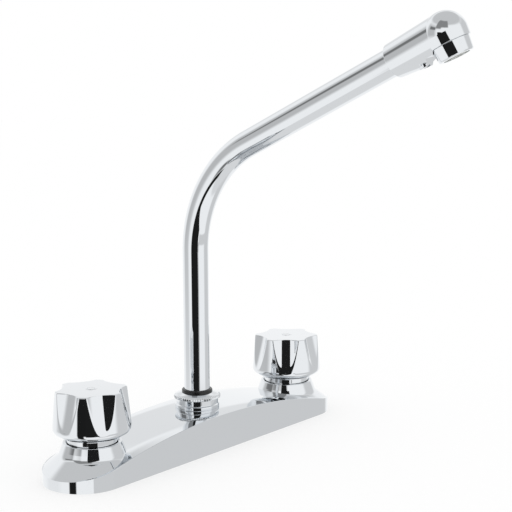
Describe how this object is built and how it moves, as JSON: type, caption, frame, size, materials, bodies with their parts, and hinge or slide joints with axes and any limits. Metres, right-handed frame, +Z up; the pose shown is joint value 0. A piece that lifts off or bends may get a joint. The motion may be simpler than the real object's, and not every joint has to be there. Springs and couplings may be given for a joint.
{
  "type": "bridge sink mixer tap",
  "caption": "Deck mixer tap: long low arched body, a fluted control knob at each end and a tall swivel gooseneck spout rising from the middle with an angled outlet.",
  "frame": {"origin": "where the spout's swivel axis meets the deck surface, centre of the body's flat underside", "axes": "+Z up along the swivel axis, +X along the body toward the right-hand knob, -Y toward the user (front, the side the spout points to)"},
  "size_m": [0.272, 0.2413, 0.2969],
  "materials": {
    "chrome": "mirror chrome plate on brass",
    "brass": "turned",
    "steel": "stainless",
    "rubber": "matt",
    "fibre": "vulcanised fibre",
    "black_plastic": "moulded",
    "white_plastic": "moulded"
  },
  "bodies": {
    "base": {"body_casting": "chrome", "base_gasket": "rubber", "seat_left": "brass", "seat_right": "brass", "bonnet_left": "brass", "bonnet_right": "brass", "bonnet_gasket_left": "fibre", "bonnet_gasket_right": "fibre", "shroud_left": "chrome", "shroud_right": "chrome", "spout_nut": "chrome", "spout_bush": "black_plastic", "swivel_washer": "white_plastic"},
    "spout": {"spout_tube": "chrome", "spout_foot": "brass", "foot_orings": "rubber", "nose": "chrome", "nose_oring": "rubber", "nose_grub_screw": "steel", "aerator_housing": "chrome", "aerator_insert": "white_plastic", "aerator_screen": "steel", "aerator_washer": "rubber"},
    "jumper_unit_left": {"jumper_left": "brass", "tap_washer_left": "rubber", "washer_nut_left": "brass"},
    "jumper_unit_right": {"jumper_right": "brass", "tap_washer_right": "rubber", "washer_nut_right": "brass"},
    "knob_unit_left": {"spindle_left": "brass", "spindle_oring_left": "rubber", "knob_left": "chrome", "knob_screw_left": "steel", "index_button_left": "chrome"},
    "knob_unit_right": {"spindle_right": "brass", "spindle_oring_right": "rubber", "knob_right": "chrome", "knob_screw_right": "steel", "index_button_right": "chrome"}
  },
  "joints": [
    {"name": "spout_swivel", "type": "hinge", "parent": "base", "child": "spout", "pos_m": [0, 0, 0.03], "axis": [0, 0, 1], "continuous": true},
    {"name": "lift_left", "type": "slide", "parent": "base", "child": "jumper_unit_left", "axis": [0, 0, 1], "range_m": [0, 0.003]},
    {"name": "turn_left", "type": "hinge", "parent": "jumper_unit_left", "child": "knob_unit_left", "pos_m": [-0.1016, 0, 0.04], "axis": [0, 0, 1], "range_deg": [0, 540]},
    {"name": "lift_right", "type": "slide", "parent": "base", "child": "jumper_unit_right", "axis": [0, 0, 1], "range_m": [0, 0.003]},
    {"name": "turn_right", "type": "hinge", "parent": "jumper_unit_right", "child": "knob_unit_right", "pos_m": [0.1016, 0, 0.04], "axis": [0, 0, 1], "range_deg": [0, 540]}
  ],
  "couplings": [
    {"joint": "lift_left", "follows": "turn_left", "m_per_rad": 0.00031831},
    {"joint": "lift_right", "follows": "turn_right", "m_per_rad": 0.00031831}
  ]
}
